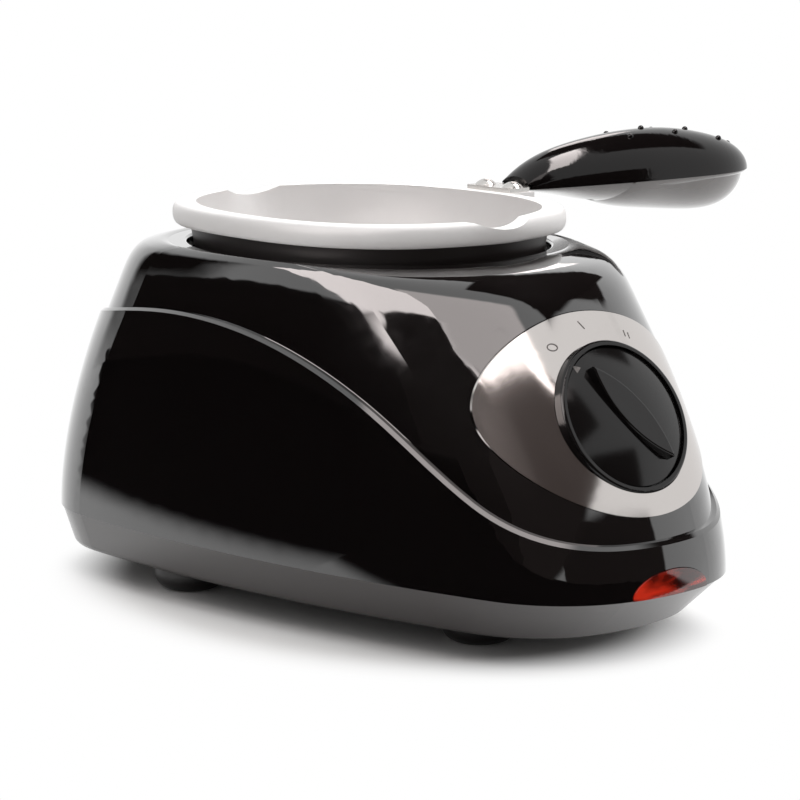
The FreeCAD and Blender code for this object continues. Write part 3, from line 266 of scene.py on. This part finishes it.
def potEnamel():
    # Cast aluminium pot: pale baked coating on the rim and inside, bare dark casting outside below the rim
    look = {
        "pale": "#e4e2e1", "cloud": "#dcd9d8", "dark": "#2b2524", "patch": 14.0, "grain": 0.8, "grainDepth": 0.02,
        "rim": 6.2, "under": 10.0, "outer": 3.0,
    }
    low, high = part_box("melting_pot")
    axis = Vector((faceOrigin.x, (low[1] + high[1]) / 2, 0))
    material, tree, shader, place = startMaterial("baked_pale_coating")
    cloud = addNode(tree, "ShaderNodeTexNoise", {"Vector": place, "Scale": perMm(look["patch"]), "Detail": 3})
    grain = addNode(tree, "ShaderNodeTexNoise", {"Vector": place, "Scale": perMm(look["grain"]), "Detail": 3})
    pale = addNode(tree, "ShaderNodeMix", {
        "Factor": cloud.outputs["Fac"], "A": toLinear(look["pale"]), "B": toLinear(look["cloud"]),
    }, data_type="RGBA")
    outward = addNode(tree, "ShaderNodeVectorMath", {0: place, 1: axis}, operation="SUBTRACT")
    flat = addNode(tree, "ShaderNodeVectorMath", {0: outward.outputs[0], 1: (1, 1, 0)}, operation="MULTIPLY")
    normal = addNode(tree, "ShaderNodeNewGeometry").outputs["Normal"]
    facing = addNode(tree, "ShaderNodeVectorMath", {0: flat.outputs[0], 1: normal}, operation="DOT_PRODUCT")
    lean = addNode(tree, "ShaderNodeSeparateXYZ", {0: normal})
    turned = addNode(tree, "ShaderNodeMath", {
        0: lean.outputs["Z"], 1: -look["under"] * mm, 2: facing.outputs["Value"],
    }, operation="MULTIPLY_ADD")
    outside = addNode(tree, "ShaderNodeMath", {
        0: turned.outputs[0], 1: look["outer"] * mm,
    }, operation="GREATER_THAN")
    height = addNode(tree, "ShaderNodeSeparateXYZ", {0: place})
    below = addNode(tree, "ShaderNodeMath", {
        0: height.outputs["Z"], 1: high[2] - look["rim"] * mm,
    }, operation="LESS_THAN")
    bare = addNode(tree, "ShaderNodeMath", {0: outside.outputs[0], 1: below.outputs[0]}, operation="MULTIPLY")
    tone = addNode(tree, "ShaderNodeMix", {
        "Factor": bare.outputs[0], "A": pale.outputs[2], "B": toLinear(look["dark"]),
    }, data_type="RGBA")
    bump = addNode(tree, "ShaderNodeBump", {
        "Height": grain.outputs["Fac"], "Strength": 0.12, "Distance": look["grainDepth"] * mm,
    })
    tree.links.new(tone.outputs[2], shader.inputs["Base Color"])
    shader.inputs["Roughness"].default_value = 0.4
    tree.links.new(bump.outputs["Normal"], shader.inputs["Normal"])
    return material


def metal(name, colour, roughness, grain):
    # Metal with a fine grain from rolling or turning, which varies the shine
    look = {"least": 0.8, "most": 1.25}
    material, tree, shader, place = startMaterial(name)
    noise = addNode(tree, "ShaderNodeTexNoise", {"Vector": place, "Scale": perMm(grain), "Detail": 4})
    rough = addNode(tree, "ShaderNodeMapRange", {
        "Value": noise.outputs["Fac"], "From Min": 0.3, "From Max": 0.7,
        "To Min": roughness * look["least"], "To Max": roughness * look["most"],
    })
    shader.inputs["Base Color"].default_value = toLinear(colour)
    shader.inputs["Metallic"].default_value = 1
    tree.links.new(rough.outputs["Result"], shader.inputs["Roughness"])
    return material


def mouldedPlastic(name, colour, speck, roughness):
    # Matt technical plastic or pressed mica, with fine specks
    look = {"grain": 0.9}
    material, tree, shader, place = startMaterial(name)
    noise = addNode(tree, "ShaderNodeTexNoise", {"Vector": place, "Scale": perMm(look["grain"]), "Detail": 5})
    tone = addNode(tree, "ShaderNodeMix", {
        "Factor": noise.outputs["Fac"], "A": toLinear(colour), "B": toLinear(speck),
    }, data_type="RGBA")
    tree.links.new(tone.outputs[2], shader.inputs["Base Color"])
    shader.inputs["Roughness"].default_value = roughness
    return material


def lampGlass():
    # Thin glass of a small neon lamp
    look = {"colour": "#f4d9c8"}
    material, _, shader, _ = startMaterial("neon_lamp_glass")
    shader.inputs["Base Color"].default_value = toLinear(look["colour"])
    shader.inputs["Roughness"].default_value = 0.05
    shader.inputs["Transmission Weight"].default_value = 0.9
    return material


finishes = {
    "black_gloss": glossBlackAbs(),
    "grey_satin": satinGreyAbs(),
    "rubber": mouldedRubber(),
    "silver_plate": satinSilver(),
    "red_lens": redAcrylic(),
    "pot_coating": potEnamel(),
    "steel": metal("rolled_steel", colour="#c9c7c4", roughness=0.22, grain=0.6),
    "aluminium": metal("spun_aluminium", colour="#c4c4c6", roughness=0.3, grain=1.0),
    "mica": mouldedPlastic("pressed_mica", colour="#a8946f", speck="#c5b594", roughness=0.5),
    "switch_plastic": mouldedPlastic("pbt_plastic", colour="#d8d4cb", speck="#cbc6bb", roughness=0.45),
    "brass": metal("turned_brass", colour="#c9a75a", roughness=0.25, grain=0.5),
    "lamp_glass": lampGlass(),
}
controlBlack = satinBlackAbs()
ownFinish = {
    "handle_lower": handleGreyAbs(),
    "handle_upper": handleBlackAbs(),
    "control_knob": controlBlack,
    "knob_collar": controlBlack,
}
for subpart in frame["record"]["subparts"]:
    mesh = nodes[subpart["node"]].data
    mesh.materials.clear()
    mesh.materials.append(ownFinish.get(subpart["node"]) or finishes[subpart["material_slot"]])
print("materials:", len(finishes))


# Dial marks in dark ink on the plate, and the pointer on the knob. Places are along the control's face.

def printingInk():
    # Grey pad-printing ink: thin, matt, slightly uneven
    look = {"colour": "#4a4644", "thin": "#5f5b58", "patch": 0.6}
    material, tree, shader, place = startMaterial("printing_ink")
    patch = addNode(tree, "ShaderNodeTexNoise", {"Vector": place, "Scale": perMm(look["patch"]), "Detail": 2})
    tone = addNode(tree, "ShaderNodeMix", {
        "Factor": patch.outputs["Fac"], "A": toLinear(look["colour"]), "B": toLinear(look["thin"]),
    }, data_type="RGBA")
    tree.links.new(tone.outputs[2], shader.inputs["Base Color"])
    shader.inputs["Roughness"].default_value = 0.55
    return material


inFront = 60


def setOn(piece, node, right, up, turn):
    # Lay a flat piece on a surface of the control, found from a point well in front of it
    start = facePoint(right, up, inFront)
    _, spot, normal, _ = nodes[node].ray_cast(start, -faceOut)
    across = (faceRight - normal * faceRight.dot(normal)).normalized()
    upward = normal.cross(across)
    axes = Matrix((across, upward, normal)).transposed().to_4x4()
    turned = Matrix.Rotation(math.radians(turn), 4, "Z")
    piece.data.transform(Matrix.Translation(spot) @ axes @ turned)


def inkSheet(name, thickness):
    # Give a flat outline the thickness of the ink, half of it sunk in the surface
    piece = bpy.context.object
    piece.name = name
    solid = piece.modifiers.new("thickness", "SOLIDIFY")
    solid.thickness = thickness * mm
    solid.offset = 0
    bpy.ops.object.modifier_apply(modifier=solid.name)
    piece.data.materials.append(ink)
    return piece


dialMarks = {
    "off_ring": {"right": -13.1, "up": 21.6, "turn": -8, "width": 3.3, "height": 2.3, "line": 0.32, "ink": 0.12,
                 "corners": 64},
    "bars": {
        "low_bar": {"right": -0.6, "up": 26.4, "turn": 25},
        "high_bar_left": {"right": 13.4, "up": 22.6, "turn": -10},
        "high_bar_right": {"right": 14.7, "up": 21.9, "turn": -10},
    },
    "barWidth": 0.34, "barRound": 0.102, "roundSteps": 3, "lowLength": 2.7, "highLength": 1.9, "ink": 0.12,
}
# A small triangle, with its corners out from the middle by a share of its width and height
pointer = {
    "right": -11.0, "up": 14.2, "turn": 35, "width": 2.2, "height": 2.6, "cornerShare": 0.6, "round": 0.2,
    "roundSteps": 3, "ink": 0.14,
}


def buildOffRing():
    look = dialMarks["off_ring"]
    bpy.ops.object.select_all(action="DESELECT")
    bpy.ops.mesh.primitive_circle_add(vertices=look["corners"], radius=0.5, fill_type="NGON")
    ring = bpy.context.object
    ring.data.transform(Matrix.Diagonal((look["width"] * mm, look["height"] * mm, 1, 1)))
    bpy.ops.object.mode_set(mode="EDIT")
    bpy.ops.mesh.select_all(action="SELECT")
    bpy.ops.mesh.inset(thickness=look["line"] * mm, depth=0)
    bpy.ops.mesh.delete(type="FACE")
    bpy.ops.object.mode_set(mode="OBJECT")
    ring = inkSheet("off_ring", look["ink"])
    setOn(ring, "dial_plate", look["right"], look["up"], look["turn"])
    return ring


def buildBar(name, length):
    look = dialMarks["bars"][name]
    bpy.ops.object.select_all(action="DESELECT")
    bpy.ops.mesh.primitive_plane_add(size=1)
    bar = bpy.context.object
    bar.data.transform(Matrix.Diagonal((dialMarks["barWidth"] * mm, length * mm, 1, 1)))
    bpy.ops.object.mode_set(mode="EDIT")
    bpy.ops.mesh.select_all(action="SELECT")
    bpy.ops.mesh.bevel(offset=dialMarks["barRound"] * mm, segments=dialMarks["roundSteps"], affect="VERTICES")
    bpy.ops.object.mode_set(mode="OBJECT")
    bar = inkSheet(name, dialMarks["ink"])
    setOn(bar, "dial_plate", look["right"], look["up"], look["turn"])
    return bar


def buildPointer():
    look = pointer
    bpy.ops.object.select_all(action="DESELECT")
    bpy.ops.mesh.primitive_circle_add(vertices=3, radius=look["cornerShare"], fill_type="NGON")
    arrow = bpy.context.object
    arrow.data.transform(Matrix.Diagonal((look["width"] * mm, look["height"] * mm, 1, 1)))
    bpy.ops.object.mode_set(mode="EDIT")
    bpy.ops.mesh.select_all(action="SELECT")
    bpy.ops.mesh.bevel(offset=look["round"] * mm, segments=look["roundSteps"], affect="VERTICES")
    bpy.ops.object.mode_set(mode="OBJECT")
    arrow = inkSheet("knob_pointer", look["ink"])
    setOn(arrow, "control_knob", look["right"], look["up"], look["turn"])
    return arrow


ink = printingInk()
for mark in [buildOffRing(), buildBar("low_bar", dialMarks["lowLength"])]:
    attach(mark, "base")
for name in ("high_bar_left", "high_bar_right"):
    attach(buildBar(name, dialMarks["highLength"]), "base")
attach(buildPointer(), "knob")
print("dial marks and pointer printed")


# Floor, lights and camera

stageLook = {
    "floorHalf": 6000,
    "floorColour": "#f4f3f2",
    "paperMiddle": (-50, 3, 0),
    "paperOval": (1, 0.75, 0),
    "paperFrom": 60,
    "paperTo": 84,
    "world": 0.3,
    "cameraAt": (-575.52, -606.65, 200.2),
    "cameraTurn": (90 - 10.36, 0, -41.18),
    "lens": 133.6,
    "sensor": 36,
    "nearest": 10,
}


def seenRays(tree):
    # 1 for what is looked at straight, in a mirror or through glass, so that the background is white there
    rays = addNode(tree, "ShaderNodeLightPath")
    seen = addNode(tree, "ShaderNodeMath", {
        0: rays.outputs["Is Camera Ray"], 1: rays.outputs["Is Glossy Ray"],
    }, operation="MAXIMUM")
    through = addNode(tree, "ShaderNodeMath", {
        0: seen.outputs[0], 1: rays.outputs["Is Transmission Ray"],
    }, operation="MAXIMUM")
    return through.outputs[0]


def buildStage():
    look = stageLook
    bpy.ops.object.select_all(action="DESELECT")
    bpy.ops.mesh.primitive_plane_add(size=2 * look["floorHalf"] * mm)
    floor = bpy.context.object
    floor.name = "studio_floor"
    material, tree, shader, place = startMaterial("studio_paper")
    shader.inputs["Base Color"].default_value = toLinear(look["floorColour"])
    shader.inputs["Roughness"].default_value = 0.9
    shader.inputs["Specular IOR Level"].default_value = 0.1
    oval = addNode(tree, "ShaderNodeMapping", {
        "Vector": place, "Scale": look["paperOval"],
        "Location": [-part * squeeze * mm for part, squeeze in zip(look["paperMiddle"], look["paperOval"])],
    })
    reach = addNode(tree, "ShaderNodeVectorMath", {0: oval.outputs["Vector"]}, operation="LENGTH")
    away = addNode(tree, "ShaderNodeMapRange", {
        "Value": reach.outputs["Value"], "From Min": look["paperFrom"] * mm, "From Max": look["paperTo"] * mm,
    }, interpolation_type="SMOOTHSTEP")
    white = addNode(tree, "ShaderNodeMath", {0: away.outputs["Result"], 1: seenRays(tree)}, operation="MULTIPLY")
    paper = addNode(tree, "ShaderNodeEmission")
    blend = addNode(tree, "ShaderNodeMixShader", {
        0: white.outputs[0], 1: shader.outputs[0], 2: paper.outputs[0],
    })
    tree.links.new(blend.outputs[0], tree.nodes["Material Output"].inputs["Surface"])
    floor.data.materials.append(material)
    world = bpy.data.worlds.new("studio_world")
    bpy.context.scene.world = world
    world.use_nodes = True
    tree = world.node_tree
    back = tree.nodes["Background"]
    strength = addNode(tree, "ShaderNodeMapRange", {
        "Value": seenRays(tree), "To Min": look["world"], "To Max": 1,
    })
    back.inputs["Color"].default_value = (1, 1, 1, 1)
    tree.links.new(strength.outputs["Result"], back.inputs["Strength"])


lamps = {
    "overhead_softbox": {"at": (300, 300, 1250), "aim": (-40, 0, 60), "size": (1000, 900), "power": 21},
    "key_softbox": {"at": (-250, -450, 1150), "aim": (-40, -20, 60), "size": (600, 500), "power": 4},
    "side_softbox": {"at": (1100, -500, 500), "aim": (-40, 0, 60), "size": (500, 700), "power": 4},
}


def buildLamps():
    for name, look in lamps.items():
        light = bpy.data.lights.new(name, "AREA")
        light.shape = "RECTANGLE"
        light.size, light.size_y = [side * mm for side in look["size"]]
        light.energy = look["power"]
        lamp = bpy.data.objects.new(name, light)
        lamp.visible_glossy = False  # the gloss mirrors the panels instead
        bpy.context.collection.objects.link(lamp)
        start = Vector(look["at"]) * mm
        way = Vector(look["aim"]) * mm - start
        lamp.matrix_world = Matrix.Translation(start) @ way.to_track_quat("-Z", "Y").to_matrix().to_4x4()


# Cards out of view that only the gloss mirrors, as in a product studio.
# Bearing and rise are degrees from the object; the edges fade over the soft width.
cards = {
    "far_left_card": {
        "bearing": 118, "rise": 12, "far": 2000, "size": (1540, 1240), "roll": 0, "glow": 0.01, "soft": 400,
    },
    "left_card": {
        "bearing": 150, "rise": -1, "far": 1400, "size": (1750, 206), "roll": 0, "glow": 0.01, "soft": 15,
    },
    "front_left_card": {
        "bearing": -170, "rise": 6.6, "far": 1300, "size": (3100, 760), "roll": 44, "glow": 0.03, "soft": 20,
    },
    "front_card": {
        "bearing": -128, "rise": 22, "far": 1100, "size": (3300, 790), "roll": 36, "glow": 0.07, "soft": 70,
    },
    "low_card": {
        "bearing": -88, "rise": 9, "far": 2000, "size": (3120, 900), "roll": 0, "glow": 0.05, "soft": 70,
    },
    "top_card": {
        "bearing": 17, "rise": 48, "far": 1100, "size": (1140, 510), "roll": 0, "glow": 0.03, "soft": 60,
    },
    # A panel behind for the handle's top edge, a lamp above for the patch at its root,
    # and a flag that keeps the lamp's image off the housing
    "handle_panel": {
        "bearing": 40.8, "rise": 29.7, "far": 388, "size": (85, 85), "roll": 0, "glow": 4, "soft": 12,
    },
    "handle_lamp": {
        "bearing": -6.4, "rise": 58.4, "far": 290, "size": (190, 72), "roll": 0, "glow": 18, "soft": 14,
    },
    "lamp_flag": {
        "bearing": -45, "rise": 60.5, "far": 86, "size": (84, 66), "roll": 0, "glow": 0.02, "soft": 3,
    },
    "side_panel": {
        "bearing": 182, "rise": 30, "far": 1500, "size": (2000, 1200), "roll": 25, "glow": 6, "soft": 10,
    },
    "key_panel": {
        "bearing": -118, "rise": 58, "far": 1500, "size": (1800, 900), "roll": 0, "glow": 3, "soft": 120,
    },
}
# Dark table round the white paper: each piece from low to high, cut off beyond a line through a point.
# It fades out at the cut, and at its right side where that shows.
tables = {
    "left_table": {
        "low": (-3500, 12), "high": (-162, 3000), "cutAt": (-170, 250), "cutAlong": 115, "soft": 40,
        "fadeRight": True,
    },
    "corner_table": {
        "low": (-3500, -175), "high": (-106, 12), "cutAt": (-100, -90), "cutAlong": 126, "soft": 15,
        "fadeRight": False,
    },
    "front_table": {
        "low": (-3500, -3000), "high": (2500, -175), "cutAt": (70, -175), "cutAlong": 130, "soft": 15,
        "fadeRight": False,
    },
}
tableHeight = 0.6
cardAim = (-40, -20, 70)


def cardMaterial(name, glow):
    # Matt black card with a trace of stray light, or the white cloth of a softbox where it glows
    look = {"card": "#0e0c0c", "stray": "#f0dcd6", "cloth": "#fff6f4", "litAbove": 1}
    material, _, shader, _ = startMaterial(name)
    shader.inputs["Base Color"].default_value = toLinear(look["card"])
    shader.inputs["Roughness"].default_value = 1
    shader.inputs["Specular IOR Level"].default_value = 0
    tint = look["cloth"] if glow > look["litAbove"] else look["stray"]
    shader.inputs["Emission Color"].default_value = toLinear(tint)
    shader.inputs["Emission Strength"].default_value = glow
    return material


def fadeBeyond(material, lines, soft):
    # Fade a card out towards some of its edges, so that its mirror image has no hard outline there
    tree = material.node_tree
    place = addNode(tree, "ShaderNodeTexCoord").outputs["Object"]
    cover = 1
    for point, outward in lines:
        offset = addNode(tree, "ShaderNodeVectorMath", {0: point, 1: place}, operation="SUBTRACT")
        depth = addNode(tree, "ShaderNodeVectorMath", {0: offset.outputs[0], 1: outward}, operation="DOT_PRODUCT")
        inside = addNode(tree, "ShaderNodeMapRange", {
            "Value": depth.outputs["Value"], "From Max": soft * mm,
        }, interpolation_type="SMOOTHSTEP")
        cover = addNode(tree, "ShaderNodeMath", {
            0: inside.outputs["Result"], 1: cover,
        }, operation="MULTIPLY").outputs[0]
    clear = addNode(tree, "ShaderNodeBsdfTransparent")
    blend = addNode(tree, "ShaderNodeMixShader", {
        0: cover, 1: clear.outputs[0], 2: tree.nodes["Principled BSDF"].outputs[0],
    })
    tree.links.new(blend.outputs[0], tree.nodes["Material Output"].inputs["Surface"])


def onlyMirrored(card):
    card.visible_camera = False
    card.visible_diffuse = False
    card.visible_transmission = False
    card.visible_shadow = False


def buildCards():
    for name, look in cards.items():
        bpy.ops.object.select_all(action="DESELECT")
        bpy.ops.mesh.primitive_plane_add(size=1)
        card = bpy.context.object
        card.name = name
        bearing = math.radians(look["bearing"])
        rise = math.radians(look["rise"])
        out = Vector((math.cos(bearing) * math.cos(rise), math.sin(bearing) * math.cos(rise), math.sin(rise)))
        middle = (Vector(cardAim) + out * look["far"]) * mm
        face = (-out).to_track_quat("-Z", "Y").to_matrix().to_4x4()
        roll = Matrix.Rotation(math.radians(look["roll"]), 4, "Z")
        width, height = [side * mm for side in look["size"]]
        stand = face @ roll
        card.data.transform(Matrix.Translation(middle) @ stand @ Matrix.Diagonal((width, height, 1, 1)))
        material = cardMaterial(name + "_cloth", look["glow"])
        across, upward = stand.col[0].to_3d(), stand.col[1].to_3d()
        edges = [across * width / 2, -across * width / 2, upward * height / 2, -upward * height / 2]
        fadeBeyond(material, [(middle + edge, edge.normalized()) for edge in edges], look["soft"])
        card.data.materials.append(material)
        onlyMirrored(card)


def buildTables():
    for name, look in tables.items():
        bpy.ops.object.select_all(action="DESELECT")
        bpy.ops.mesh.primitive_plane_add(size=1)
        table = bpy.context.object
        table.name = name
        low, high = [Vector(corner) * mm for corner in (look["low"], look["high"])]
        span = high - low
        middle = ((low + high) / 2).to_3d() + Vector((0, 0, tableHeight * mm))
        table.data.transform(Matrix.Translation(middle) @ Matrix.Diagonal((span.x, span.y, 1, 1)))
        along = math.radians(look["cutAlong"])
        bpy.ops.object.mode_set(mode="EDIT")
        bpy.ops.mesh.select_all(action="SELECT")
        cutPoint = Vector((*look["cutAt"], 0)) * mm
        beyond = Vector((math.sin(along), -math.cos(along), 0))
        bpy.ops.mesh.bisect(plane_co=cutPoint, plane_no=beyond, clear_outer=True)
        bpy.ops.object.mode_set(mode="OBJECT")
        material = cardMaterial(name + "_top", 0)
        lines = [(cutPoint, beyond)]
        if look["fadeRight"]:
            lines.append((high.to_3d(), Vector((1, 0, 0))))
        fadeBeyond(material, lines, look["soft"])
        table.data.materials.append(material)
        onlyMirrored(table)


def buildCamera():
    look = stageLook
    camera = bpy.data.cameras.new("photo_camera")
    camera.lens = look["lens"]
    camera.sensor_width = look["sensor"]
    camera.clip_start = look["nearest"] * mm
    holder = bpy.data.objects.new("photo_camera", camera)
    bpy.context.collection.objects.link(holder)
    holder.location = Vector(look["cameraAt"]) * mm
    holder.rotation_euler = [math.radians(turn) for turn in look["cameraTurn"]]
    bpy.context.scene.camera = holder


buildStage()
buildLamps()
buildCards()
buildTables()
buildCamera()
bpy.context.scene.view_settings.view_transform = "Standard"
print("stage, lamps and camera ready")
